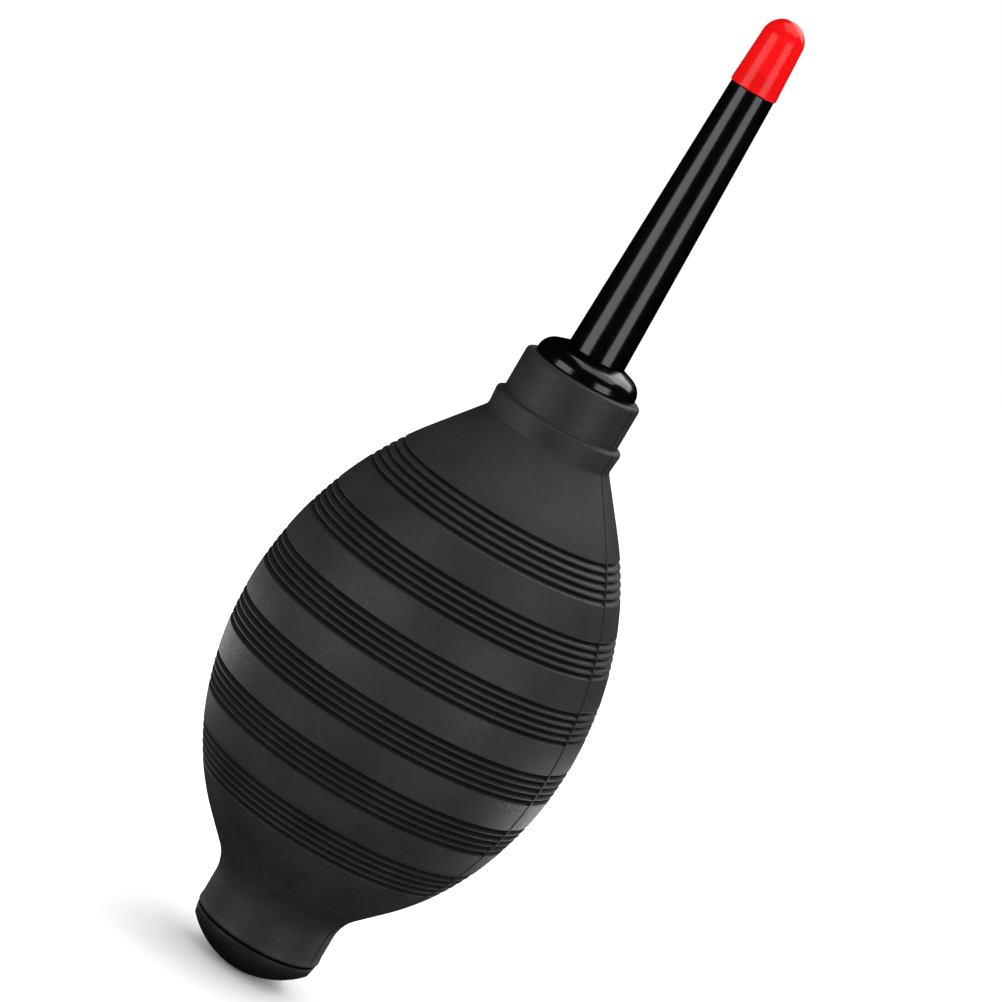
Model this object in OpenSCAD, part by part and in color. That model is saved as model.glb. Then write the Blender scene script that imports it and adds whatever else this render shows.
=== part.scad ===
// Hand-held dust blower bulb for watch work. A ribbed rubber bulb draws clean air in through a
// valve in its foot and blows it out through a valve, a long tapered nozzle and a soft tip.
// Millimetres. The origin is the middle of the foot's underside and +Z runs along the axis to
// the tip. The thumb presses the +Y side of the bulb and the fingers press the -Y side.

/* [Bulb] */
// Largest radius of the belly
belly_r = 27.7; // [27.3:0.1:28.4]
// Height of the widest point above the foot
belly_z = 51.6; // [51:0.1:52.2]
// Radius of the belly's outline above its widest point
upper_arc_r = 55; // [54:0.5:56]
// Radius of the belly's outline below its widest point
lower_arc_r = 52; // [51:0.5:53]
// Radius of the tighter curve where the belly turns in to the foot
heel_arc_r = 40.5; // [38:0.5:43]
// Radius of the hollow fillet between the heel and the foot neck
foot_fillet_r = 6.9; // [6:0.1:7.5]
// Thickness of the rubber wall
wall = 2.4; // [1.8:0.1:2.6]
// Distance from the axis to the edge of the two side walls that are squeezed
squeeze_edge_y = 12; // [11.5:0.1:14]

/* [Grip grooves] */
// Number of bands of grooves
band_count = 6; // [2:1:6]
// Number of grooves in each band
grooves_per_band = 5; // [1:2:5]
// Height of the lowest band's middle
first_band_z = 28.4; // [28.2:0.1:29]
// Distance from one band's middle to the next
band_pitch = 10.25; // [9:0.05:10.25]
// Distance from one groove to the next in a band
groove_pitch = 1.12; // [1:0.02:1.2]
// Width of a groove
groove_w = 0.8; // [0.4:0.02:0.9]
// Depth of a groove
groove_depth = 0.7; // [0.2:0.05:0.8]

/* [Foot] */
// Outer radius of the rubber foot neck
foot_r = 10.2; // [9.9:0.05:10.6]
// Radius of the foot neck's bore, which grips the inlet plug
foot_bore_r = 7; // [6.8:0.1:7.2]
// Height of the joint between the plug's flange and the rubber
foot_joint_z = 5.85; // [5.6:0.05:6.1]
// Outer radius of the inlet plug's flange
plug_r = 10.1; // [9.6:0.1:10.2]
// Radius of the flat underside that the bulb stands on
plug_flat_r = 2.8; // [2.6:0.1:4.5]
// Height at which the plug's domed underside meets its upright rim
plug_dome_h = 4.4; // [3.6:0.1:4.6]
// Radius of the air inlet hole
inlet_r = 1.5; // [1.2:0.1:1.8]

/* [Collar and neck] */
// Height of the collar's underside
collar_z = 92.8; // [92.4:0.1:93.2]
// Thickness of the collar
collar_h = 3.4; // [2.4:0.1:4]
// Radius of the collar at its top
collar_high_r = 10.55; // [10.45:0.05:11.5]
// Outer radius of the rubber neck above the collar
neck_r = 9.55; // [9.2:0.05:9.8]
// Height of the neck's top face
neck_top_z = 103.4; // [102.5:0.1:104]
// Radius of the neck's bore, which grips the nozzle base
neck_bore_r = 6.5; // [6.3:0.1:6.7]

/* [Nozzle base] */
// Outer radius of the domed base
base_r = 8.25; // [8:0.05:8.6]
// Height of the dome above the neck's top face, where it meets the tube
base_h = 3.5; // [3.4:0.05:4.4]
// Radius of the dome's rounded edge
base_round_r = 2.55; // [2:0.05:2.6]
// Slope of the dome's crown, which rises from the rounded edge to the tube
crown_slope = 20; // [12:1:20]

/* [Nozzle] */
// Outer radius of the tube where it enters the base
tube_root_r = 4.6; // [4.3:0.05:4.65]
// Outer radius of the tube where the tip begins
tube_end_r = 3.52; // [3.3:0.02:3.6]
// Height of the shoulder that the tip seats on
tube_shoulder_z = 151.9; // [130:0.1:160]
// Length of the spigot that holds the tip
tip_spigot_l = 6.4; // [5:0.1:7]
// Radius of the spigot that holds the tip
tip_spigot_r = 2.55; // [2.4:0.05:2.6]
// Bore radius of the tube at its tip end
tube_bore_r = 1.3; // [1:0.1:1.6]
// Radial clearance of the tube in the base, and of the tip on its spigot
slide_gap = 0.05; // [0.02:0.01:0.1]

/* [Tip] */
// Length of the soft tip
tip_l = 11.55; // [10.5:0.05:12]
// Radius of the bead round the tip's open end
tip_bead_r = 3.72; // [3.66:0.02:3.9]
// Radius of the tip's rounded end
tip_end_r = 3.3; // [3.1:0.05:3.4]
// Radius of the air hole in the tip
tip_hole_r = 0.8; // [0.5:0.1:1.2]

/* [Valves] */
// Radius of the inlet valve's chamber in the plug
inlet_chamber_r = 5; // [4.8:0.1:5.2]
// Radius of the inlet valve disc
inlet_disc_r = 4.5; // [4:0.1:4.5]
// Thickness of the inlet valve disc
inlet_disc_t = 0.8; // [0.6:0.1:0.9]
// How far the inlet valve disc can lift
inlet_lift = 1.2; // [0.8:0.1:1.3]
// Radius of the outlet valve's chamber in the nozzle base
outlet_chamber_r = 4.8; // [4.6:0.1:4.9]
// Radius of the outlet valve disc
outlet_disc_r = 4.3; // [3.9:0.1:4.3]
// Thickness of the outlet valve disc
outlet_disc_t = 0.6; // [0.5:0.1:0.7]
// How far the outlet valve disc can lift
outlet_lift = 0.8; // [0.5:0.1:0.9]

/* [Hidden] */

$fn = 180;
small = 0.05;            // gap left at a disc's stop and under the tube
press = 0.05;            // radial interference of a piece pressed into plastic
barb_h = 0.4;            // how far a barb bites into the rubber
barb_l = 2.2;            // length of one barb
edge = 0.4;              // bevel on the rubber's and the plastic's outer edges
clear_of_all = 200;      // larger than the whole blower, for cutting boxes

upper_angle = 38.1;      // slope of the straight shoulder under the collar, from the axis
lower_angle = 22.5;      // slope where the belly's lower arc meets the heel
heel_angle = 43.6;       // slope of the straight part above the foot fillet

// Points [radius, height] on an arc round [cr, cz], from angle a0 to a1, without its last point
function arc(cr, cz, r, a0, a1, n) =
    [for (i = [0 : n - 1]) let (a = a0 + (a1 - a0) * i / n) [cr + r * cos(a), cz + r * sin(a)]];
// One point at angle a on a circle round [cr, cz]
function on_arc(cr, cz, r, a) = [cr + r * cos(a), cz + r * sin(a)];

// Middles of the arcs that make the bulb's outline
upper_c = belly_r - upper_arc_r;
lower_c = belly_r - lower_arc_r;
heel_c = on_arc(lower_c, belly_z, lower_arc_r - heel_arc_r, -lower_angle);
heel_end = on_arc(heel_c[0], heel_c[1], heel_arc_r, -heel_angle);
fillet_start_r = foot_r + foot_fillet_r * (1 - cos(heel_angle));
fillet_c_z = heel_end[1] - (heel_end[0] - fillet_start_r) / tan(heel_angle)
    - foot_fillet_r * sin(heel_angle);
shoulder_start = on_arc(upper_c, belly_z, upper_arc_r, upper_angle);
shoulder_end_r = shoulder_start[0] - (collar_z - shoulder_start[1]) * tan(upper_angle);

heel_z = on_arc(lower_c, belly_z, lower_arc_r, -lower_angle)[1];

// Radius at height z of a circle of radius r round [cr, cz]
function arc_r(z, cr, cz, r) = cr + sqrt(pow(r, 2) - pow(z - cz, 2));
// Radius of the bulb's outside at height z, between the foot fillet and the straight shoulder
function bulb_r(z) =
    z < heel_z ? arc_r(z, heel_c[0], heel_c[1], heel_arc_r) :
    z < belly_z ? arc_r(z, lower_c, belly_z, lower_arc_r) :
    arc_r(z, upper_c, belly_z, upper_arc_r);

groove_reach = (grooves_per_band - 1) / 2;
band_half = groove_reach * groove_pitch + groove_w;
function band_z(b) = first_band_z + b * band_pitch;
// The four corners of one groove
function groove(z) = let (r = bulb_r(z) - groove_depth, h = groove_w / 2) [
    [bulb_r(z - h), z - h], [r, z - h / 2], [r, z + h / 2], [bulb_r(z + h), z + h]];
// Plain outline from height z0 to z1
function plain(z0, z1, n) = [for (i = [0 : n]) let (z = z0 + (z1 - z0) * i / n) [bulb_r(z), z]];
grooved_outline = [for (b = [0 : band_count - 1]) each concat(
    [for (k = [-groove_reach : groove_reach]) each groove(band_z(b) + k * groove_pitch)],
    b < band_count - 1 ? plain(band_z(b) + band_half, band_z(b + 1) - band_half, 6) : [])];

outside = concat(
    [[foot_bore_r, foot_joint_z], [foot_r - edge, foot_joint_z], [foot_r, foot_joint_z + edge]],
    arc(foot_r + foot_fillet_r, fillet_c_z, foot_fillet_r, 180, 180 - heel_angle, 10),
    [[fillet_start_r, fillet_c_z + foot_fillet_r * sin(heel_angle)]],
    plain(heel_end[1], band_z(0) - band_half, 6),
    grooved_outline,
    plain(band_z(band_count - 1) + band_half, shoulder_start[1], 4),
    [[shoulder_end_r, collar_z], [collar_high_r, collar_z + collar_h - 1.5 * edge]],
    [[collar_high_r - 1.5 * edge, collar_z + collar_h], [neck_r, collar_z + collar_h]],
    [[neck_r, neck_top_z - edge], [neck_r - edge, neck_top_z], [neck_bore_r, neck_top_z]]);

inner_top = on_arc(upper_c, belly_z, upper_arc_r - wall, upper_angle);
inner_bottom = on_arc(heel_c[0], heel_c[1], heel_arc_r - wall, -heel_angle);
neck_bore_z = inner_top[1] + (inner_top[0] - neck_bore_r) / tan(upper_angle);
foot_bore_z = inner_bottom[1] - (inner_bottom[0] - foot_bore_r) / tan(heel_angle);
inside = concat(
    [[neck_bore_r, neck_bore_z]],
    arc(upper_c, belly_z, upper_arc_r - wall, upper_angle, 0, 16),
    arc(lower_c, belly_z, lower_arc_r - wall, 0, -lower_angle, 14),
    arc(heel_c[0], heel_c[1], heel_arc_r - wall, -lower_angle, -heel_angle, 4),
    [inner_bottom, [foot_bore_r, foot_bore_z]]);

// The barbs on a spigot of radius r, from height z0 in steps of one barb, pointing up or down
function barbs(r, z0, count, dir) = [for (i = [0 : count - 1]) let (z = z0 + dir * i * barb_l)
    each [[r, z], [r + barb_h, z], [r, z + dir * (barb_l - barb_h)]]];

function reversed(points) = [for (i = [len(points) - 1 : -1 : 0]) points[i]];

// Inlet plug and its valve
plug_dome_c = (pow(plug_dome_h, 2) + pow(plug_r, 2) - pow(plug_flat_r, 2)) / (2 * plug_dome_h);
plug_dome_r = sqrt(pow(plug_dome_c, 2) + pow(plug_flat_r, 2));
inlet_floor_z = 3.4;
inlet_seat_z = inlet_floor_z + 0.6;
inlet_seat_r = inlet_r + 0.9;
inlet_stop_z = inlet_seat_z + inlet_disc_t + inlet_lift + small;
plug_top_z = foot_bore_z - 0.3;
cage_plate_z = inlet_stop_z + 1;
cage_plate_t = 2;

// Nozzle base and its valve
base_bottom_z = neck_bore_z - 1;
outlet_seat_t = 1.4;
outlet_r = 1.6;
outlet_seat_r = outlet_r + 0.8;
outlet_seat_z = base_bottom_z + outlet_seat_t + 0.5;
outlet_stop_z = outlet_seat_z + outlet_disc_t + outlet_lift + small;
web_z = outlet_stop_z + 0.6;
web_t = 1.8;
boss_r = 1.5;
web_hole_r = 0.8;
web_hole_at_r = 2.6;
socket_r = tube_root_r + slide_gap;
crown_z = neck_top_z + base_h;
crown_r = socket_r + 0.2;
crown_start_r = base_r - base_round_r * (1 - sin(crown_slope));
crown_start_z = crown_z - (crown_start_r - crown_r) * tan(crown_slope);
base_round_z = crown_start_z - base_round_r * cos(crown_slope);

// Nozzle tube and tip
tube_bottom_z = web_z + web_t + small;
tube_mouth_r = 3.5;
tube_throat_r = 2.9;
tip_top_z = tube_shoulder_z + tip_l;
tip_bore_end_z = tube_shoulder_z + tip_spigot_l + small;
tip_bead_h = 0.7;

rubber = [0.13, 0.13, 0.14];
satin_black = [0.09, 0.09, 0.1];
gloss_black = [0.03, 0.03, 0.035];
soft_red = [0.85, 0.03, 0.04];
clear_silicone = [0.75, 0.75, 0.72];

module turned(outline) rotate_extrude() polygon(outline);

// The whole rubber moulding, from the foot neck to the top of the nozzle neck
module bulb_moulding() turned(concat(outside, inside));

// The slice of space from y0 to y1
module slice(y0, y1) translate([-clear_of_all / 2, y0, -1]) cube([clear_of_all, y1 - y0, clear_of_all]);

module bulb_shell() color(rubber)
    intersection() {
        bulb_moulding();
        slice(-squeeze_edge_y, squeeze_edge_y);
    }

module thumb_wall() color(rubber)
    intersection() {
        bulb_moulding();
        slice(squeeze_edge_y, clear_of_all);
    }

module finger_wall() color(rubber)
    intersection() {
        bulb_moulding();
        slice(-clear_of_all, -squeeze_edge_y);
    }

module inlet_plug() color(satin_black)
    turned(concat(
        [[inlet_r, 0]],
        arc(0, plug_dome_c, plug_dome_r, -90 + asin(plug_flat_r / plug_dome_r),
            -90 + asin(plug_r / plug_dome_r), 10),
        [[plug_r, plug_dome_h], [plug_r, foot_joint_z - edge], [plug_r - edge, foot_joint_z]],
        [[foot_bore_r, foot_joint_z]],
        barbs(foot_bore_r, foot_joint_z + 1.6, 2, 1),
        [[foot_bore_r, plug_top_z - edge], [foot_bore_r - edge, plug_top_z]],
        [[inlet_chamber_r, plug_top_z], [inlet_chamber_r, inlet_floor_z]],
        [[inlet_seat_r, inlet_floor_z], [inlet_seat_r, inlet_seat_z], [inlet_r, inlet_seat_z]]));

module inlet_disc() color(clear_silicone)
    translate([0, 0, inlet_seat_z]) cylinder(r = inlet_disc_r, h = inlet_disc_t);

module inlet_cage() color(satin_black)
    difference() {
        union() {
            translate([0, 0, cage_plate_z]) cylinder(r = inlet_chamber_r + press, h = cage_plate_t);
            translate([0, 0, inlet_stop_z]) cylinder(r = boss_r, h = 1.5);
        }
        for (a = [0 : 60 : 300]) rotate([0, 0, a])
            translate([3.3, 0, cage_plate_z - 1]) cylinder(r = 0.9, h = cage_plate_t + 2, $fn = 48);
    }

module nozzle_base() color(gloss_black)
    difference() {
        turned(concat(
            [[outlet_chamber_r, base_bottom_z], [neck_bore_r - edge, base_bottom_z]],
            [[neck_bore_r, base_bottom_z + edge]],
            reversed(barbs(neck_bore_r, neck_top_z - 1.6, 3, -1)),
            [[neck_bore_r, neck_top_z], [base_r - 0.2, neck_top_z], [base_r, neck_top_z + 0.2]],
            arc(base_r - base_round_r, base_round_z, base_round_r, 0, 90 - crown_slope, 12),
            [[crown_start_r, crown_start_z], [crown_r, crown_z]],
            [[crown_r, crown_z - 0.5], [socket_r, crown_z - 0.7]],
            [[socket_r, web_z + web_t], [0, web_z + web_t], [0, outlet_stop_z]],
            [[boss_r, outlet_stop_z], [boss_r, web_z], [outlet_chamber_r, web_z]]));
        for (a = [0 : 60 : 300]) rotate([0, 0, a])
            translate([web_hole_at_r, 0, web_z - 1]) cylinder(r = web_hole_r, h = web_t + 2, $fn = 48);
    }

module outlet_seat() color(satin_black)
    turned([[outlet_r, base_bottom_z], [outlet_chamber_r + press, base_bottom_z],
        [outlet_chamber_r + press, base_bottom_z + outlet_seat_t],
        [outlet_seat_r, base_bottom_z + outlet_seat_t], [outlet_seat_r, outlet_seat_z],
        [outlet_r, outlet_seat_z]]);

module outlet_disc() color(clear_silicone)
    translate([0, 0, outlet_seat_z]) cylinder(r = outlet_disc_r, h = outlet_disc_t);

module nozzle_tube() color(gloss_black)
    turned([[tube_mouth_r, tube_bottom_z], [tube_root_r - 0.3, tube_bottom_z],
        [tube_root_r, tube_bottom_z + 0.3], [tube_root_r, crown_z - 0.3],
        [tube_end_r, tube_shoulder_z], [tip_spigot_r, tube_shoulder_z],
        [tip_spigot_r, tube_shoulder_z + tip_spigot_l], [tube_bore_r, tube_shoulder_z + tip_spigot_l],
        [tube_throat_r, tube_bottom_z + 5], [tube_mouth_r, tube_bottom_z + 2]]);

module nozzle_tip() color(soft_red)
    turned(concat(
        [[tip_spigot_r + slide_gap, tube_shoulder_z], [tip_bead_r - 0.15, tube_shoulder_z]],
        [[tip_bead_r, tube_shoulder_z + 0.15], [tip_bead_r, tube_shoulder_z + tip_bead_h]],
        [[tip_bead_r - 0.06, tube_shoulder_z + 2 * tip_bead_h]],
        arc(0, tip_top_z - tip_end_r, tip_end_r, 0, 90 - asin(tip_hole_r / tip_end_r), 12),
        [[tip_hole_r, tip_top_z - tip_end_r + sqrt(pow(tip_end_r, 2) - pow(tip_hole_r, 2))]],
        [[tip_hole_r, tip_bore_end_z + 0.6], [tip_spigot_r + slide_gap, tip_bore_end_z]]));

bulb_shell();
thumb_wall();
finger_wall();
inlet_plug();
inlet_disc();
inlet_cage();
nozzle_base();
outlet_seat();
outlet_disc();
nozzle_tube();
nozzle_tip();
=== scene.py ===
"""Looks of a hand-held dust blower bulb for watch work.

A ribbed rubber bulb stands on a domed foot plug. A valved plug closes its neck and holds a long
tapered nozzle with a soft red tip. Sizes are in millimetres and become metres when a mesh is made.
Heights and outer radii that the CAD states come from its nodes' boxes.
"""

import logging
import math
from dataclasses import dataclass, field
from enum import Enum
from typing import Callable, Iterable, Sequence

import bmesh
import bpy
from mathutils import Matrix, Vector


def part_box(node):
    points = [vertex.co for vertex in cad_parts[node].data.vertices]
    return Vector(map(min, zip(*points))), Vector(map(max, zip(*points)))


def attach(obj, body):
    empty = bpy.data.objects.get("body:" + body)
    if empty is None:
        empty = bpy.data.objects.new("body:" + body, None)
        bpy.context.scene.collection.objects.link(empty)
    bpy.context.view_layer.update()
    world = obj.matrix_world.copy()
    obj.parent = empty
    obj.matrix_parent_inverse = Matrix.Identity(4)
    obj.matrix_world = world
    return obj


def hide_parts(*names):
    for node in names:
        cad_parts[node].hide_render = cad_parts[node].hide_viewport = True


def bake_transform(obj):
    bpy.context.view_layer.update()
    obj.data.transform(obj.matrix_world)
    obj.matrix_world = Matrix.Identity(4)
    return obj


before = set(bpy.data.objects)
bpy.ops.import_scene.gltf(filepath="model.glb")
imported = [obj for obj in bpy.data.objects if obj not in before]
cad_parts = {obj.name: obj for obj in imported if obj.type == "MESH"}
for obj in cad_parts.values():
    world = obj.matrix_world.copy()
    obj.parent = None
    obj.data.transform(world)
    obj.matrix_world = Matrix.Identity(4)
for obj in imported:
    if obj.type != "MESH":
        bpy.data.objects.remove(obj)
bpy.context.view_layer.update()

MM = 0.001
MERGE_M = 1e-7
log = logging.getLogger("blower")

Point = tuple[float, float]
Outline = list[Point]
Colour = tuple[float, float, float, float]


# ---------------------------------------------------------------- colours and nodes


def srgb(code: str) -> Colour:
    """Turn an sRGB hex colour to linear.

    Args:
        code: Six hex digits, such as "1c1c1d".

    Returns:
        Linear red, green, blue and an alpha of 1.
    """
    parts = [int(code[i : i + 2], 16) / 255 for i in (0, 2, 4)]
    low = [c / 12.92 if c <= 0.04045 else ((c + 0.055) / 1.055) ** 2.4 for c in parts]
    return (low[0], low[1], low[2], 1.0)


def add_node(
    tree: bpy.types.NodeTree,
    kind: str,
    settings: dict[str, object] | None = None,
    inputs: dict[str | int, object] | None = None,
) -> bpy.types.Node:
    """Add one node with its settings, values and links.

    Args:
        tree: The node tree that gets the node.
        kind: The node's Blender type.
        settings: Properties to set on the node.
        inputs: A value, or the socket that is linked in, for each named input.

    Returns:
        The new node.
    """
    node = tree.nodes.new(kind)
    for name, value in (settings or {}).items():
        setattr(node, name, value)
    for name, value in (inputs or {}).items():
        socket = node.inputs[name]
        if isinstance(value, bpy.types.NodeSocket):
            tree.links.new(value, socket)
        else:
            socket.default_value = value
    return node


def blend_colours(
    tree: bpy.types.NodeTree,
    factor: bpy.types.NodeSocket,
    stops: Sequence[tuple[float, Colour]],
) -> bpy.types.NodeSocket:
    """Map a 0 to 1 value to colours between two stops.

    Args:
        tree: The material's node tree.
        factor: The value to map.
        stops: Position and colour of the first and the last stop.

    Returns:
        The colour output.
    """
    node = add_node(tree, "ShaderNodeValToRGB", inputs={"Fac": factor})
    for element, (place, colour) in zip(node.color_ramp.elements, stops):
        element.position = place
        element.color = colour
    return node.outputs["Color"]


# ---------------------------------------------------------------- finishes


@dataclass(frozen=True)
class Finish:
    """One real material and the way its surface was made.

    Attributes:
        name: Common name of the material and its process.
        dark: Colour of its darker patches.
        light: Colour of its lighter patches.
        patch_mm: Size of those patches.
        roughness: Lowest and highest roughness.
        grain_mm: Size of the surface grain.
        grain_depth_mm: Height of the grain.
        ior: Index of refraction.
        soft: Share of light that scatters below the surface.
        through: Share of light that passes through.
        wave_mm: Length of slow waves in the surface, or 0 for none.
        wave_depth_mm: Height of those waves.
        scatter_mm: How far light travels below a soft surface.
    """

    name: str
    dark: str
    light: str
    patch_mm: float
    roughness: tuple[float, float]
    grain_mm: float
    grain_depth_mm: float
    ior: float = 1.5
    soft: float = 0.0
    through: float = 0.0
    wave_mm: float = 0.0
    wave_depth_mm: float = 0.0
    scatter_mm: float = 0.6

    def noise(
        self, tree: bpy.types.NodeTree, place: bpy.types.NodeSocket, size_mm: float
    ) -> bpy.types.NodeSocket:
        """Noise whose lumps are size_mm across.

        Args:
            tree: The material's node tree.
            place: Object coordinates in metres.
            size_mm: Size of one lump.

        Returns:
            The noise value.
        """
        inputs = {"Vector": place, "Scale": 1 / (size_mm * MM), "Detail": 3.0, "Roughness": 0.55}
        return add_node(tree, "ShaderNodeTexNoise", inputs=inputs).outputs["Fac"]

    def relief(
        self,
        tree: bpy.types.NodeTree,
        height: bpy.types.NodeSocket,
        depth_mm: float,
        under: bpy.types.NodeSocket | None = None,
    ) -> bpy.types.NodeSocket:
        """Raise the surface by a pattern.

        Args:
            tree: The material's node tree.
            height: The pattern, from 0 to 1.
            depth_mm: Its full height.
            under: The normal that it is laid over, if there is one.

        Returns:
            The raised surface's normal.
        """
        inputs: dict[str | int, object] = {"Height": height, "Distance": depth_mm * MM, "Strength": 1.0}
        if under:
            inputs["Normal"] = under
        return add_node(tree, "ShaderNodeBump", inputs=inputs).outputs["Normal"]

    def build(self) -> bpy.types.Material:
        """Make the material.

        Returns:
            The procedural material.
        """
        material = bpy.data.materials.new(self.name)
        material.use_nodes = True
        tree = material.node_tree
        tree.nodes.clear()
        place = add_node(tree, "ShaderNodeTexCoord").outputs["Object"]
        patches = self.noise(tree, place, self.patch_mm)
        colour = blend_colours(tree, patches, [(0.35, srgb(self.dark)), (0.65, srgb(self.light))])
        grain = self.noise(tree, place, self.grain_mm)
        low, high = self.roughness
        rough = add_node(
            tree,
            "ShaderNodeMapRange",
            inputs={"Value": grain, "From Min": 0.3, "From Max": 0.7, "To Min": low, "To Max": high},
        )
        normal = self.relief(tree, grain, self.grain_depth_mm)
        if self.wave_mm:
            waves = self.noise(tree, place, self.wave_mm)
            normal = self.relief(tree, waves, self.wave_depth_mm, under=normal)
        shader = add_node(
            tree,
            "ShaderNodeBsdfPrincipled",
            inputs={
                "Base Color": colour,
                "Roughness": rough.outputs["Result"],
                "Normal": normal,
                "IOR": self.ior,
                "Subsurface Weight": self.soft,
                "Subsurface Radius": (1.0, 0.25, 0.15),
                "Subsurface Scale": self.scatter_mm * MM,
                "Transmission Weight": self.through,
            },
        )
        add_node(tree, "ShaderNodeOutputMaterial", inputs={"Surface": shader.outputs["BSDF"]})
        return material


class Stuff(Enum):
    """The finishes on the blower."""

    # Black vulcanised rubber, pressed in a blasted mould: dull, with a fine dry grain. The grain is
    # a few times coarser than the real one, which would be too fine to show.
    RUBBER = Finish(
        name="Vulcanised rubber, press-moulded",
        dark="1b1b1c",
        light="212122",
        patch_mm=9.0,
        roughness=(0.5, 0.66),
        grain_mm=0.45,
        grain_depth_mm=0.02,
        ior=1.52,
    )
    # Black ABS from a satin tool: a broad dim sheen.
    SATIN_ABS = Finish(
        name="ABS, satin-moulded",
        dark="101011",
        light="151516",
        patch_mm=5.0,
        roughness=(0.46, 0.6),
        grain_mm=0.4,
        grain_depth_mm=0.012,
        ior=1.53,
    )
    # Black ABS from a polished tool: clear streaks whose edges waver a little.
    GLOSS_ABS = Finish(
        name="ABS, gloss-moulded",
        dark="030303",
        light="050505",
        patch_mm=8.0,
        roughness=(0.13, 0.2),
        grain_mm=0.5,
        grain_depth_mm=0.0015,
        ior=1.53,
        wave_mm=9.0,
        wave_depth_mm=0.02,
    )
    # Red soft PVC, dipped: saturated, with a wet-looking but broad shine.
    SOFT_PVC = Finish(
        name="Soft PVC, dipped",
        dark="c20002",
        light="d20204",
        patch_mm=4.0,
        roughness=(0.18, 0.24),
        grain_mm=0.5,
        grain_depth_mm=0.003,
        ior=1.35,
        soft=0.1,
        wave_mm=3.0,
        wave_depth_mm=0.015,
    )
    # Clear silicone sheet, die-cut: milky, with a slight sheen.
    SILICONE = Finish(
        name="Silicone sheet, die-cut",
        dark="c9c8c2",
        light="d8d7d1",
        patch_mm=3.0,
        roughness=(0.32, 0.45),
        grain_mm=0.2,
        grain_depth_mm=0.004,
        ior=1.41,
        soft=0.3,
        through=0.25,
    )
    # Natural nylon, moulded: ivory, with a waxy satin.
    NYLON = Finish(
        name="Nylon, moulded natural",
        dark="cfc9b8",
        light="ded8c8",
        patch_mm=4.0,
        roughness=(0.38, 0.5),
        grain_mm=0.25,
        grain_depth_mm=0.004,
        ior=1.53,
        soft=0.15,
    )


# ---------------------------------------------------------------- outlines


def arc(centre: Point, radius: float, start: float, end: float, steps: int) -> Outline:
    """Points on an arc in the radius and height plane.

    Args:
        centre: Radius and height of the arc's middle.
        radius: The arc's radius.
        start: First angle in degrees, from straight out.
        end: Last angle in degrees.
        steps: Number of steps between them.

    Returns:
        The points, both ends among them.
    """
    angles = [math.radians(start + (end - start) * i / steps) for i in range(steps + 1)]
    return [(centre[0] + radius * math.cos(a), centre[1] + radius * math.sin(a)) for a in angles]


def arc_point(centre: Point, radius: float, angle: float) -> Point:
    """The point on a circle at an angle in degrees from straight out."""
    return arc(centre, radius, angle, angle, 1)[0]


def rounded(corner: Point, before: Point, after: Point, radius: float, steps: int = 4) -> Outline:
    """Round one corner of an outline.

    Args:
        corner: The sharp corner.
        before: The point that comes before it.
        after: The point that comes after it.
        radius: Distance from the corner at which the curve begins and ends.
        steps: Number of steps in the curve.

    Returns:
        Points on a smooth curve that replaces the corner.
    """
    mid = Vector(corner)
    first = mid + (Vector(before) - mid).normalized() * radius
    last = mid + (Vector(after) - mid).normalized() * radius
    curve = []
    for i in range(steps + 1):
        t = i / steps
        point = first * (1 - t) ** 2 + mid * 2 * t * (1 - t) + last * t**2
        curve.append((point.x, point.y))
    return curve


def soften(points: Outline, radii: dict[int, float]) -> Outline:
    """Round some corners of a closed outline.

    Args:
        points: The outline's corners in order.
        radii: The rounding of each corner by its place in points.

    Returns:
        The outline with those corners rounded.
    """
    out: Outline = []
    for i, point in enumerate(points):
        if i in radii:
            out += rounded(point, points[i - 1], points[(i + 1) % len(points)], radii[i])
        else:
            out.append(point)
    return out


def low_z(node: str) -> float:
    """Lowest height of a CAD node, in millimetres."""
    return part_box(node)[0].z / MM


def high_z(node: str) -> float:
    """Highest height of a CAD node, in millimetres."""
    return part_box(node)[1].z / MM


def outer_r(node: str) -> float:
    """Largest radius of a CAD node, in millimetres."""
    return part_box(node)[1].x / MM


# ---------------------------------------------------------------- meshes


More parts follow.
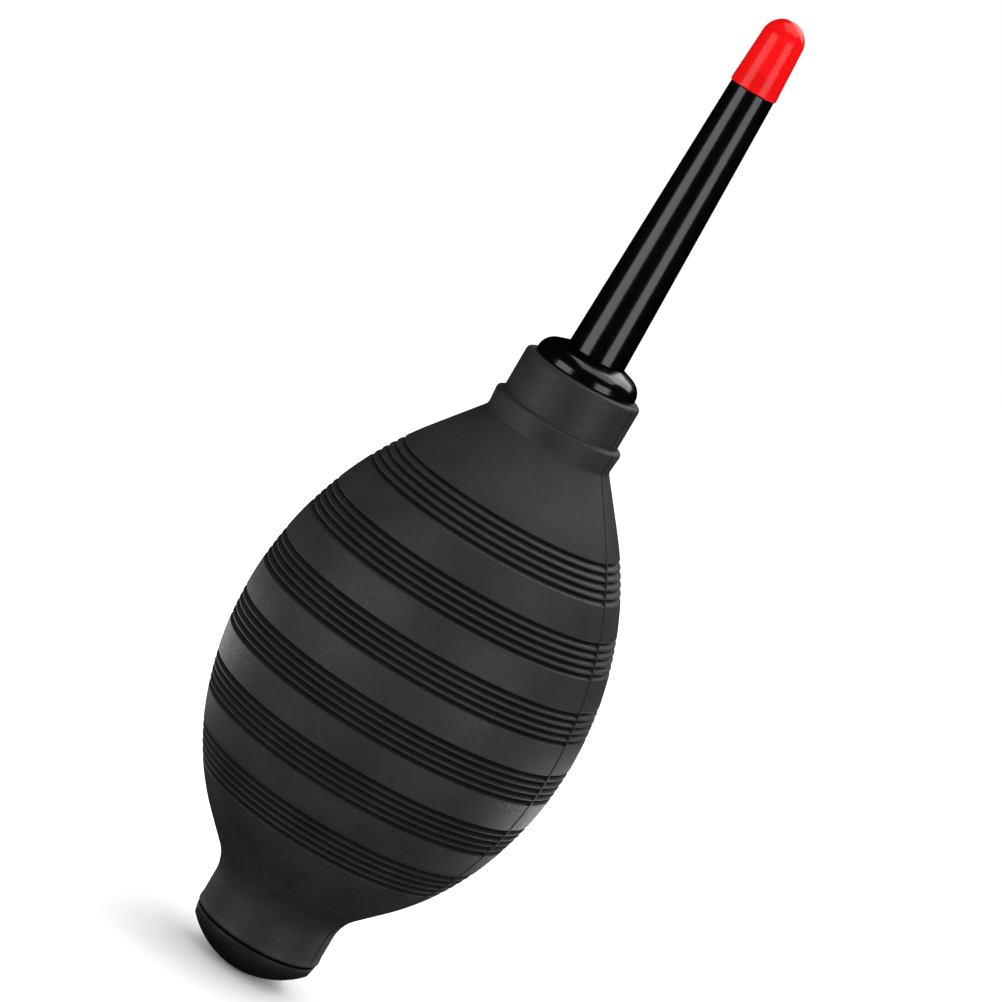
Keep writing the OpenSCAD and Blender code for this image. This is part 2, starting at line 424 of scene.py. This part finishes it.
class Turning:
    """Turns outlines round the blower's axis into closed meshes."""

    sharp = math.radians(33)

    @staticmethod
    def outline_face(mesh: bmesh.types.BMesh, outline: Outline) -> bmesh.types.BMFace:
        """Lay a closed outline in the XZ plane as one face.

        Args:
            mesh: The bmesh that gets it.
            outline: Radius and height of each corner, in millimetres.

        Returns:
            The face.
        """
        corners = [mesh.verts.new((r * MM, 0.0, z * MM)) for r, z in outline]
        return mesh.faces.new(corners)

    @staticmethod
    def clean(mesh: bmesh.types.BMesh) -> bmesh.types.BMesh:
        """Merge doubled corners and point every face outwards."""
        bmesh.ops.remove_doubles(mesh, verts=mesh.verts, dist=MERGE_M)
        bmesh.ops.recalc_face_normals(mesh, faces=mesh.faces)
        return mesh

    @classmethod
    def full(cls, outline: Outline, steps: int = 160) -> bmesh.types.BMesh:
        """Turn an outline the whole way round.

        Args:
            outline: Radius and height of each corner, in millimetres.
            steps: Number of steps round the axis.

        Returns:
            A closed mesh.
        """
        mesh = bmesh.new()
        face = cls.outline_face(mesh, outline)
        edges = list(face.edges)
        mesh.faces.remove(face)
        bmesh.ops.spin(
            mesh,
            geom=list(mesh.verts) + edges,
            cent=(0, 0, 0),
            axis=(0, 0, 1),
            angle=math.tau,
            steps=steps,
            use_merge=True,
        )
        return cls.clean(mesh)

    @classmethod
    def half(cls, outline: Outline, side: int, steps: int = 96) -> bmesh.types.BMesh:
        """Turn an outline half way round, from +X to -X, with flat ends in the XZ plane.

        Args:
            outline: Radius and height of each corner, in millimetres.
            side: 1 for the +Y half, -1 for the -Y half.
            steps: Number of steps round the axis.

        Returns:
            A closed mesh.
        """
        mesh = bmesh.new()
        face = cls.outline_face(mesh, outline)
        bmesh.ops.spin(
            mesh,
            geom=list(mesh.verts) + list(mesh.edges) + [face],
            cent=(0, 0, 0),
            axis=(0, 0, 1),
            angle=side * math.pi,
            steps=steps,
            use_merge=False,
        )
        return cls.clean(mesh)

    @classmethod
    def piece(
        cls, mesh: bmesh.types.BMesh, name: str, stuff: Stuff, finishes: "Finishes"
    ) -> bpy.types.Object:
        """Make a smooth-shaded object of a mesh.

        Args:
            mesh: The finished bmesh, which is freed.
            name: Name of the piece.
            stuff: Its finish.
            finishes: The made materials.

        Returns:
            The object, at the origin.
        """
        for face in mesh.faces:
            face.smooth = True
        for edge in mesh.edges:
            edge.smooth = edge.calc_face_angle(0.0) < cls.sharp
        data = bpy.data.meshes.new(name)
        mesh.to_mesh(data)
        mesh.free()
        data.materials.append(finishes.of(stuff))
        made = bpy.data.objects.new(name, data)
        bpy.context.scene.collection.objects.link(made)
        log.info("%s: %d faces", name, len(data.polygons))
        return made

    @staticmethod
    def drill(
        target: bpy.types.Object, radius: float, at_r: float, heights: tuple[float, float], count: int
    ) -> None:
        """Drill a ring of holes parallel to the axis.

        Args:
            target: The piece to drill.
            radius: Radius of each hole, in millimetres.
            at_r: Distance of the holes from the axis, in millimetres.
            heights: Heights at which the drill starts and ends, in millimetres.
            count: Number of holes.
        """
        low, high = heights
        drills = bmesh.new()
        for i in range(count):
            turn = Matrix.Rotation(math.tau * i / count, 4, "Z")
            place = turn @ Matrix.Translation((at_r * MM, 0, (low + high) / 2 * MM))
            bmesh.ops.create_cone(
                drills,
                cap_ends=True,
                segments=32,
                radius1=radius * MM,
                radius2=radius * MM,
                depth=(high - low) * MM,
                matrix=place,
            )
        data = bpy.data.meshes.new("drills")
        drills.to_mesh(data)
        drills.free()
        cutter = bpy.data.objects.new("drills", data)
        bpy.context.scene.collection.objects.link(cutter)
        cut = target.modifiers.new("air holes", "BOOLEAN")
        cut.operation = "DIFFERENCE"
        cut.solver = "EXACT"
        cut.object = cutter
        bpy.context.view_layer.update()
        graph = bpy.context.evaluated_depsgraph_get()
        drilled = bpy.data.meshes.new_from_object(target.evaluated_get(graph))
        target.modifiers.clear()
        target.data = drilled
        bpy.data.objects.remove(cutter)


@dataclass
class Finishes:
    """The materials, each made once."""

    made: dict[Stuff, bpy.types.Material] = field(default_factory=dict)

    def of(self, stuff: Stuff) -> bpy.types.Material:
        """The material of one finish."""
        if stuff not in self.made:
            self.made[stuff] = stuff.value.build()
        return self.made[stuff]

    def dress(self, node: str, stuff: Stuff) -> None:
        """Give a carried-over CAD node its material.

        Args:
            node: The CAD node's name.
            stuff: Its finish.
        """
        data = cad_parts[node].data
        data.materials.clear()
        data.materials.append(self.of(stuff))
        log.info("%s: dressed in %s", node, stuff.value.name)


# ---------------------------------------------------------------- the rubber bulb


@dataclass
class Bulb:
    """The rubber moulding: foot neck, ribbed belly, collar and nozzle neck."""

    belly_r: float = field(default_factory=lambda: outer_r("bulb_shell"))
    belly_z: float = 51.6
    upper_arc_r: float = 55.0
    upper_angle: float = 38.1
    lower_arc_r: float = 52.0
    lower_angle: float = 22.5
    heel_arc_r: float = 40.5
    heel_angle: float = 43.6
    wall: float = 2.4
    band_count: int = 6
    grooves_per_band: int = 5
    first_band_z: float = 28.4
    band_pitch: float = 10.25
    groove_pitch: float = 1.12
    groove_w: float = 0.98
    groove_depth: float = 1.0
    groove_steps: int = 6
    groove_point: float = 1.5
    groove_clearance: float = 1.25
    belly_steps: int = 90
    mould_mismatch: float = 0.1
    foot_r: float = 10.2
    foot_bore_r: float = 7.0
    foot_joint_z: float = field(default_factory=lambda: low_z("bulb_shell"))
    foot_fillet_r: float = 6.9
    foot_lip: float = 0.1
    foot_lip_h: float = 0.4
    foot_lip_fade: float = 0.6
    foot_lip_rounds: tuple[float, float, float] = (0.14, 0.25, 0.35)
    joint_gap: float = 0.26
    joint_depth: float = 1.6
    collar_z: float = 92.8
    collar_top_z: float = 96.2
    collar_high_r: float = 10.55
    neck_r: float = 9.55
    neck_top_z: float = field(default_factory=lambda: high_z("bulb_shell"))
    neck_bore_r: float = 6.5
    under_collar_round: float = 0.5
    collar_round: float = 0.7
    neck_root_round: float = 0.4
    neck_edge_round: float = 0.8
    seam_w: float = 0.22
    seam_proud: float = 0.09
    seam_root: float = 0.3
    seam_start: float = 0.6
    bend_start_y: float = 10.5
    bend_end_y: float = 27.5

    def arc_middles(self) -> tuple[Point, Point, Point]:
        """Middles of the upper, the lower and the heel arc."""
        upper = (self.belly_r - self.upper_arc_r, self.belly_z)
        lower = (self.belly_r - self.lower_arc_r, self.belly_z)
        heel = arc_point(lower, self.lower_arc_r - self.heel_arc_r, -self.lower_angle)
        return upper, lower, heel

    def skin_r(self, z: float) -> float:
        """Radius of the ungrooved belly at a height.

        Args:
            z: The height.

        Returns:
            The radius.
        """
        upper, lower, heel = self.arc_middles()
        heel_z = self.belly_z - self.lower_arc_r * math.sin(math.radians(self.lower_angle))
        if z < heel_z:
            middle, radius = heel, self.heel_arc_r
        elif z < self.belly_z:
            middle, radius = lower, self.lower_arc_r
        else:
            middle, radius = upper, self.upper_arc_r
        return middle[0] + math.sqrt(radius**2 - (z - middle[1]) ** 2)

    def groove_heights(self, shift: float) -> list[float]:
        """Heights of the grooves' middles, moved up by shift."""
        reach = (self.grooves_per_band - 1) // 2
        return [
            self.first_band_z + band * self.band_pitch + k * self.groove_pitch + shift
            for band in range(self.band_count)
            for k in range(-reach, reach + 1)
        ]

    def belly(self, low: float, high: float, shift: float, grooved: bool) -> Outline:
        """The belly's outline between two heights.

        Args:
            low: Lowest height.
            high: Highest height.
            shift: How far this half's grooves stand above their nominal place.
            grooved: Whether the grooves are cut.

        Returns:
            The outline from low to high.
        """
        cuts = self.groove_heights(shift) if grooved else []
        half = self.groove_w / 2
        clear = half * self.groove_clearance
        depths: list[tuple[float, float]] = []
        for i in range(self.belly_steps + 1):
            z = low + (high - low) / self.belly_steps * i
            if all(abs(z - cut) > clear for cut in cuts):
                depths.append((z, 0.0))
        for cut in cuts:
            for i in range(-self.groove_steps, self.groove_steps + 1):
                share = i / self.groove_steps
                depth = self.groove_depth * (1 - abs(share)) ** self.groove_point
                depths.append((cut + share * half, depth))
        return [(self.skin_r(z) - depth, z) for z, depth in sorted(depths)]

    def head(self, shoulder: Point) -> Outline:
        """The collar and the nozzle neck, above the belly.

        Args:
            shoulder: The belly's highest point.

        Returns:
            The outline from the shoulder to the neck's bore.
        """
        slope = math.tan(math.radians(self.upper_angle))
        corners = [
            shoulder,
            (shoulder[0] - (self.collar_z - shoulder[1]) * slope, self.collar_z),
            (self.collar_high_r, self.collar_top_z),
            (self.neck_r, self.collar_top_z),
            (self.neck_r, self.neck_top_z),
            (self.neck_bore_r, self.neck_top_z),
        ]
        rounds = {
            1: self.under_collar_round,
            2: self.collar_round,
            3: self.neck_root_round,
            4: self.neck_edge_round,
        }
        return soften(corners, rounds)

    def foot(self) -> Outline:
        """The foot's end face and its lip, up to where the fillet begins."""
        gap_r = self.foot_r - self.joint_depth
        lip_r = self.foot_r + self.foot_lip
        lip_z = self.foot_joint_z + self.joint_gap
        corners = [
            (self.foot_bore_r, self.foot_joint_z),
            (gap_r, self.foot_joint_z),
            (gap_r, lip_z),
            (lip_r, lip_z),
            (lip_r, lip_z + self.foot_lip_h),
            (self.foot_r, lip_z + self.foot_lip_h + self.foot_lip_fade),
            (self.foot_r, self.fillet_middle()[1]),
        ]
        return soften(corners, dict(enumerate(self.foot_lip_rounds, 3)))[:-1]

    def heel_end(self) -> Point:
        """Lowest point of the heel arc, where the slope to the foot's fillet begins."""
        return arc_point(self.arc_middles()[2], self.heel_arc_r, -self.heel_angle)

    def fillet_middle(self) -> Point:
        """Middle of the fillet between the heel and the foot."""
        slope = math.radians(self.heel_angle)
        heel_r, heel_z = self.heel_end()
        top_r = self.foot_r + self.foot_fillet_r * (1 - math.cos(slope))
        top_z = heel_z - (heel_r - top_r) / math.tan(slope)
        return self.foot_r + self.foot_fillet_r, top_z - self.foot_fillet_r * math.sin(slope)

    def outside(self, shift: float = 0.0, grooved: bool = True) -> Outline:
        """The outer outline, from the foot's end face up to the neck's top face.

        Args:
            shift: How far this half's grooves stand above their nominal place.
            grooved: Whether the grooves are cut.

        Returns:
            The outline.
        """
        shoulder = arc_point(self.arc_middles()[0], self.upper_arc_r, self.upper_angle)
        fillet = arc(self.fillet_middle(), self.foot_fillet_r, 180, 180 - self.heel_angle, 14)
        belly = self.belly(self.heel_end()[1], shoulder[1], shift, grooved)
        return self.foot() + fillet + belly[:-1] + self.head(shoulder)

    def inside(self) -> Outline:
        """The inner outline, from the neck's bore down to the foot's bore."""
        upper, lower, heel = self.arc_middles()
        top = arc(upper, self.upper_arc_r - self.wall, self.upper_angle, 0, 16)
        middle = arc(lower, self.lower_arc_r - self.wall, 0, -self.lower_angle, 16)
        bottom = arc(heel, self.heel_arc_r - self.wall, -self.lower_angle, -self.heel_angle, 4)
        tan_up = math.tan(math.radians(self.upper_angle))
        tan_low = math.tan(math.radians(self.heel_angle))
        neck = (self.neck_bore_r, top[0][1] + (top[0][0] - self.neck_bore_r) / tan_up)
        foot = (self.foot_bore_r, bottom[-1][1] - (bottom[-1][0] - self.foot_bore_r) / tan_low)
        return [neck] + top[:-1] + middle[:-1] + bottom + [foot]

    def build_half(self, side: int, finishes: Finishes) -> bpy.types.Object:
        """Make one moulded half.

        Args:
            side: 1 for the thumb's half, -1 for the fingers' half.
            finishes: The made materials.

        Returns:
            The piece.
        """
        outline = self.outside(shift=side * self.mould_mismatch / 2) + self.inside()
        name = "bulb_thumb_half" if side > 0 else "bulb_finger_half"
        made = Turning.piece(Turning.half(outline, side), name, Stuff.RUBBER, finishes)
        if side > 0:
            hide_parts("bulb_shell", "thumb_wall")
        else:
            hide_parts("finger_wall")
        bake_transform(made)
        return made

    def build_seam(self, finishes: Finishes) -> bpy.types.Object:
        """Make the thin line of flash where the two halves of the mould met.

        Args:
            finishes: The made materials.

        Returns:
            The piece.
        """
        low_end = self.foot_joint_z + self.seam_start
        least_r = self.neck_r - self.seam_root
        skin = [(r, z) for r, z in self.outside(grooved=False) if z > low_end and r > least_r]
        ribbon = bmesh.new()
        for side in (1, -1):
            rails = []
            for out in (-self.seam_root, self.seam_proud):
                line = [ribbon.verts.new((side * (r + out) * MM, 0, z * MM)) for r, z in skin]
                rails += [ribbon.edges.new(pair) for pair in zip(line, line[1:])]
            bmesh.ops.bridge_loops(ribbon, edges=rails)
        bmesh.ops.translate(ribbon, vec=(0, -self.seam_w / 2 * MM, 0), verts=ribbon.verts)
        strip = bmesh.ops.extrude_face_region(ribbon, geom=list(ribbon.faces))
        moved = [v for v in strip["geom"] if isinstance(v, bmesh.types.BMVert)]
        bmesh.ops.translate(ribbon, vec=(0, self.seam_w * MM, 0), verts=moved)
        bmesh.ops.recalc_face_normals(ribbon, faces=ribbon.faces)
        made = Turning.piece(ribbon, "mould_seam", Stuff.RUBBER, finishes)
        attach(made, "root")
        return made

    def build(self, finishes: Finishes) -> None:
        """Make both halves and the seam."""
        self.build_half(1, finishes)
        self.build_half(-1, finishes)
        self.build_seam(finishes)


# ---------------------------------------------------------------- the two plugs


@dataclass(frozen=True)
class Barbs:
    """Saw-toothed rings on a spigot, which bite into the rubber.

    Attributes:
        count: Number of rings.
        height: How far each stands out.
        pitch: Distance from one to the next.
        land: Plain length between two rings.
        first: Distance from the flange to the first ring.
    """

    count: int
    height: float = 0.4
    pitch: float = 2.2
    land: float = 0.4
    first: float = 1.6

    def outline(self, spigot_r: float, flange_z: float, side: int) -> Outline:
        """The rings' outline, from the flange to the spigot's end.

        Args:
            spigot_r: Radius of the spigot.
            flange_z: Height of the flange's face.
            side: 1 if the spigot stands up from the flange, -1 if it hangs down.

        Returns:
            The outline.
        """
        out: Outline = []
        for i in range(self.count):
            z = flange_z + side * (self.first + i * self.pitch)
            end = z + side * (self.pitch - self.land)
            out += [(spigot_r, z), (spigot_r + self.height, z), (spigot_r, end)]
        return out


@dataclass
class FootPlug:
    """The domed plug in the foot, with the air inlet and its valve chamber."""

    rim_r: float = field(default_factory=lambda: outer_r("inlet_plug"))
    flat_r: float = 2.8
    dome_h: float = 4.4
    joint_z: float = field(default_factory=lambda: low_z("bulb_shell"))
    joint_gap: float = 0.26
    joint_depth: float = 1.5
    rim_round: float = 0.14
    top_z: float = field(default_factory=lambda: high_z("inlet_plug"))
    spigot_r: float = 7.0
    spigot_bevel: float = 0.4
    barbs: Barbs = Barbs(count=2)
    hole_r: float = 1.5
    hole_round: float = 0.3
    chamber_r: float = 5.0
    floor_z: float = 3.4
    seat_z: float = 4.0
    seat_r: float = 2.4

    def dome(self) -> Outline:
        """The dome's outline, from its flat underside to its rim."""
        centre = (self.dome_h**2 + self.rim_r**2 - self.flat_r**2) / (2 * self.dome_h)
        radius = math.hypot(centre, self.flat_r)
        first = -90 + math.degrees(math.asin(self.flat_r / radius))
        last = -90 + math.degrees(math.asin(self.rim_r / radius))
        return arc((0, centre), radius, first, last, 20)

    def outline(self) -> Outline:
        """The plug's closed outline."""
        dome = self.dome()
        rim_z = self.joint_z - self.joint_gap
        gap_r = self.rim_r - self.joint_depth
        rim = [
            dome[-1],
            (self.rim_r, rim_z),
            (gap_r, rim_z),
            (gap_r, self.joint_z),
            (self.spigot_r, self.joint_z),
        ]
        mouth = arc((self.hole_r + self.hole_round, self.hole_round), self.hole_round, 180, 270, 4)
        inner = [
            (self.spigot_r, self.top_z - self.spigot_bevel),
            (self.spigot_r - self.spigot_bevel, self.top_z),
            (self.chamber_r, self.top_z),
            (self.chamber_r, self.floor_z),
            (self.seat_r, self.floor_z),
            (self.seat_r, self.seat_z),
            (self.hole_r, self.seat_z),
        ]
        barbs = self.barbs.outline(self.spigot_r, self.joint_z, 1)
        return mouth + dome[:-1] + soften(rim, {1: self.rim_round})[1:] + barbs + inner

    def build(self, finishes: Finishes) -> None:
        """Make the plug and dress its valve."""
        made = Turning.piece(Turning.full(self.outline()), "foot_plug", Stuff.SATIN_ABS, finishes)
        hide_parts("inlet_plug")
        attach(made, "root")
        finishes.dress("inlet_disc", Stuff.SILICONE)
        finishes.dress("inlet_cage", Stuff.NYLON)


@dataclass
class NozzleBase:
    """The glossy domed plug in the neck, with the outlet valve below its socket."""

    dome_r: float = field(default_factory=lambda: outer_r("nozzle_base"))
    neck_top_z: float = field(default_factory=lambda: high_z("bulb_shell"))
    top_z: float = field(default_factory=lambda: high_z("nozzle_base"))
    bottom_z: float = field(default_factory=lambda: low_z("nozzle_base"))
    flange_round: float = 0.3
    round_r: float = 2.55
    crown_slope: float = 20.0
    crown_r: float = 4.85
    crown_round: float = 0.12
    crown_lip_h: float = 0.5
    socket_r: float = 4.65
    socket_bevel: float = 0.2
    spigot_r: float = 6.5
    spigot_bevel: float = 0.4
    barbs: Barbs = Barbs(count=3)
    chamber_r: float = 4.8
    web_drop: float = 1.85
    web_t: float = 1.8
    boss_r: float = 1.5
    boss_h: float = 0.6
    hole_r: float = 0.8
    hole_at_r: float = 2.6
    hole_count: int = 6
    drill_run: float = 0.5

    def web_z(self) -> float:
        """Height of the underside of the web that the tube stands above."""
        return low_z("nozzle_tube") - self.web_drop

    def dome(self) -> Outline:
        """The dome's outline, from its upright side to the crown's inner edge."""
        slope = math.radians(self.crown_slope)
        start_r = self.dome_r - self.round_r * (1 - math.sin(slope))
        start_z = self.top_z - (start_r - self.crown_r) * math.tan(slope)
        middle = (self.dome_r - self.round_r, start_z - self.round_r * math.cos(slope))
        side = arc(middle, self.round_r, 0, 90 - self.crown_slope, 18)
        lip = (self.crown_r, self.top_z - self.crown_lip_h)
        crown = soften([side[-1], (self.crown_r, self.top_z), lip], {1: self.crown_round})
        return side + crown[1:]

    def outline(self) -> Outline:
        """The base's closed outline."""
        web_z = self.web_z()
        bottom = [
            (self.chamber_r, self.bottom_z),
            (self.spigot_r - self.spigot_bevel, self.bottom_z),
            (self.spigot_r, self.bottom_z + self.spigot_bevel),
        ]
        barbs = self.barbs.outline(self.spigot_r, self.neck_top_z, -1)[::-1]
        flange = [
            (self.spigot_r, self.neck_top_z),
            (self.dome_r, self.neck_top_z),
            (self.dome_r, self.top_z),
        ]
        inner = [
            (self.socket_r, self.top_z - self.crown_lip_h - self.socket_bevel),
            (self.socket_r, web_z + self.web_t),
            (0.0, web_z + self.web_t),
            (0.0, web_z - self.boss_h),
            (self.boss_r, web_z - self.boss_h),
            (self.boss_r, web_z),
            (self.chamber_r, web_z),
        ]
        rim = soften(flange, {1: self.flange_round})[:-1]
        return bottom + barbs + rim + self.dome() + inner

    def build(self, finishes: Finishes) -> None:
        """Make the base, drill its web and dress its valve."""
        made = Turning.piece(Turning.full(self.outline()), "nozzle_dome", Stuff.GLOSS_ABS, finishes)
        web_z = self.web_z()
        heights = (web_z - self.drill_run, web_z + self.web_t + self.drill_run)
        Turning.drill(made, self.hole_r, self.hole_at_r, heights, self.hole_count)
        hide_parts("nozzle_base")
        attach(made, "root")
        finishes.dress("outlet_seat", Stuff.NYLON)
        finishes.dress("outlet_disc", Stuff.SILICONE)


# ---------------------------------------------------------------- the nozzle


@dataclass
class Nozzle:
    """The tapered tube and the soft tip on its end."""

    root_r: float = field(default_factory=lambda: outer_r("nozzle_tube"))
    end_r: float = 3.52
    bottom_z: float = field(default_factory=lambda: low_z("nozzle_tube"))
    taper_z: float = 106.6
    shoulder_z: float = field(default_factory=lambda: low_z("nozzle_tip"))
    spigot_r: float = 2.55
    spigot_l: float = 6.4
    bore_r: float = 1.3
    throat_r: float = 2.9
    throat_h: float = 5.0
    mouth_r: float = 3.5
    mouth_h: float = 2.0
    root_round: float = 0.3
    shoulder_round: float = 0.2
    spigot_round: float = 0.3
    tip_l: float = 11.55
    tip_gap: float = 0.05
    bead_r: float = field(default_factory=lambda: outer_r("nozzle_tip"))
    bead_h: float = 0.7
    bead_fade: float = 0.06
    bead_rounds: tuple[float, float, float] = (0.15, 0.2, 0.3)
    tip_end_r: float = 3.3
    tip_hole_r: float = 0.8
    hole_edge: float = 0.15
    hole_bevel: float = 0.12
    bore_cone_h: float = 0.6

    def tube_outline(self) -> Outline:
        """The tube's closed outline."""
        spigot_top = self.shoulder_z + self.spigot_l
        corners = [
            (self.mouth_r, self.bottom_z),
            (self.root_r, self.bottom_z),
            (self.root_r, self.taper_z),
            (self.end_r, self.shoulder_z),
            (self.spigot_r, self.shoulder_z),
            (self.spigot_r, spigot_top),
            (self.bore_r, spigot_top),
            (self.throat_r, self.bottom_z + self.throat_h),
            (self.mouth_r, self.bottom_z + self.mouth_h),
        ]
        return soften(corners, {1: self.root_round, 3: self.shoulder_round, 5: self.spigot_round})

    def tip_outline(self) -> Outline:
        """The tip's closed outline."""
        top = self.shoulder_z + self.tip_l
        bore_r = self.spigot_r + self.tip_gap
        bore_top = self.shoulder_z + self.spigot_l + self.tip_gap
        hole = math.degrees(math.asin((self.tip_hole_r + self.hole_edge) / self.tip_end_r))
        end = arc((0, top - self.tip_end_r), self.tip_end_r, 0, 90 - hole, 18)
        skirt = [
            (bore_r, self.shoulder_z),
            (self.bead_r, self.shoulder_z),
            (self.bead_r, self.shoulder_z + self.bead_h),
            (self.bead_r - self.bead_fade, self.shoulder_z + 2 * self.bead_h),
            end[0],
        ]
        inner = [
            (self.tip_hole_r, end[-1][1] - self.hole_bevel),
            (self.tip_hole_r, bore_top + self.bore_cone_h),
            (bore_r, bore_top),
        ]
        return soften(skirt, dict(enumerate(self.bead_rounds, 1)))[:-1] + end + inner

    def build(self, finishes: Finishes) -> None:
        """Make the tube and the tip."""
        tube = Turning.piece(Turning.full(self.tube_outline()), "taper_tube", Stuff.GLOSS_ABS, finishes)
        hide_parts("nozzle_tube")
        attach(tube, "nozzle")
        tip = Turning.piece(Turning.full(self.tip_outline()), "soft_tip", Stuff.SOFT_PVC, finishes)
        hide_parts("nozzle_tip")
        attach(tip, "tip")


# ---------------------------------------------------------------- studio and camera


@dataclass(frozen=True)
class Softbox:
    """One rectangular softbox.

    Attributes:
        name: Name of the light.
        turn: Its angle round the blower, to the right of the camera's direction, in degrees.
        away: Its distance from the axis, in metres.
        height: Height of its middle, in metres.
        size: Its width and height, in metres.
        radiance: Brightness of its face, where 1 is paper white.
    """

    name: str
    turn: float
    away: float
    height: float
    size: Point
    radiance: float


@dataclass
class Studio:
    """Pale floor, soft lights and the camera.

    The camera's azimuth is measured from -Y towards +X. The two side boxes draw the two streaks on
    the nozzle, the back and top boxes the crescent on the dome, and the low strips the pale edges
    of the foot.
    """

    azimuth: float = 24.8
    elevation: float = 9.72
    aim_z: float = 81.1
    aim_right: float = -1.33
    distance: float = 700.0
    lens_mm: float = 170.515
    sensor_mm: float = 36.0
    tilt: float = 30.47
    floor_size: float = 24.0
    softboxes: tuple[Softbox, ...] = (
        Softbox("left_box", -47.5, 0.6, 0.08, (0.41, 0.5), 2.6),
        Softbox("right_box", 45.5, 0.6, 0.08, (0.365, 0.5), 2.6),
        Softbox("back_box", 148, 0.45, 0.52, (0.5, 0.4), 2.4),
        Softbox("top_box", 105, 0.1, 0.62, (0.5, 0.56), 1.9),
        Softbox("low_left_strip", -122, 0.11, 0.014, (0.12, 0.024), 3.6),
        Softbox("low_right_strip", 122, 0.11, 0.014, (0.12, 0.024), 4.4),
    )

    def towards_camera(self, turn: float = 0.0) -> Vector:
        """Level direction from the axis to the camera, turned right by turn degrees."""
        a = math.radians(self.azimuth + turn)
        return Vector((math.sin(a), -math.cos(a), 0.0))

    def add_camera(self) -> None:
        """Place the camera, rolled so that the tip points to the upper right."""
        front, right = self.towards_camera(), self.towards_camera(90)
        e = math.radians(self.elevation)
        back = front * math.cos(e) + Vector((0, 0, math.sin(e)))
        aim = right * self.aim_right + Vector((0, 0, self.aim_z))
        up = back.cross(right)
        roll = math.radians(self.tilt)
        x_axis = right * math.cos(roll) + up * math.sin(roll)
        y_axis = back.cross(x_axis)
        turn = Matrix((x_axis, y_axis, back)).transposed().to_4x4()
        data = bpy.data.cameras.new("camera")
        data.sensor_width = self.sensor_mm
        data.lens = self.lens_mm
        camera = bpy.data.objects.new("camera", data)
        camera.matrix_world = Matrix.Translation((aim + back * self.distance) * MM) @ turn
        bpy.context.scene.collection.objects.link(camera)
        bpy.context.scene.camera = camera

    def add_softbox(self, box: Softbox) -> None:
        """Add one softbox, turned to face the blower."""
        data = bpy.data.lights.new(box.name, "AREA")
        data.shape = "RECTANGLE"
        data.size, data.size_y = box.size
        data.energy = box.radiance * math.pi * box.size[0] * box.size[1]
        light = bpy.data.objects.new(box.name, data)
        light.location = self.towards_camera(box.turn) * box.away + Vector((0, 0, box.height))
        aim = Vector((0, 0, self.aim_z * MM)) - light.location
        light.rotation_euler = aim.to_track_quat("-Z", "Y").to_euler()
        light.visible_camera = False
        bpy.context.scene.collection.objects.link(light)

    def add_floor(self) -> None:
        """Add the pale floor, which the glossy pieces don't mirror."""
        mesh = bmesh.new()
        bmesh.ops.create_grid(mesh, x_segments=4, y_segments=4, size=self.floor_size / 2)
        data = bpy.data.meshes.new("floor")
        mesh.to_mesh(data)
        mesh.free()
        floor = bpy.data.objects.new("floor", data)
        paper = bpy.data.materials.new("Backdrop paper")
        paper.use_nodes = True
        shader = paper.node_tree.nodes["Principled BSDF"]
        shader.inputs["Base Color"].default_value = srgb("ffffff")
        shader.inputs["Roughness"].default_value = 1.0
        shader.inputs["Specular IOR Level"].default_value = 0.0
        data.materials.append(paper)
        floor.visible_glossy = False
        bpy.context.scene.collection.objects.link(floor)

    def add_world(self) -> None:
        """Add the white surround, which lights but isn't mirrored."""
        world = bpy.data.worlds.new("surround")
        world.use_nodes = True
        back = world.node_tree.nodes["Background"]
        back.inputs["Color"].default_value = srgb("ffffff")
        back.inputs["Strength"].default_value = 1.0
        world.cycles_visibility.glossy = False
        bpy.context.scene.world = world
        bpy.context.scene.view_settings.view_transform = "Standard"

    def build(self) -> None:
        """Add everything."""
        self.add_camera()
        self.add_floor()
        self.add_world()
        for box in self.softboxes:
            self.add_softbox(box)


def main() -> None:
    """Build the blower and its studio in order."""
    logging.basicConfig(level=logging.INFO, format="%(name)s: %(message)s")
    finishes = Finishes()
    steps: list[tuple[str, Callable[[], None]]] = [
        ("studio", Studio().build),
        ("bulb", lambda: Bulb().build(finishes)),
        ("foot plug", lambda: FootPlug().build(finishes)),
        ("nozzle base", lambda: NozzleBase().build(finishes)),
        ("nozzle", lambda: Nozzle().build(finishes)),
    ]
    for name, build in steps:
        build()
        log.info("built the %s", name)


if __name__ == "__main__":
    main()
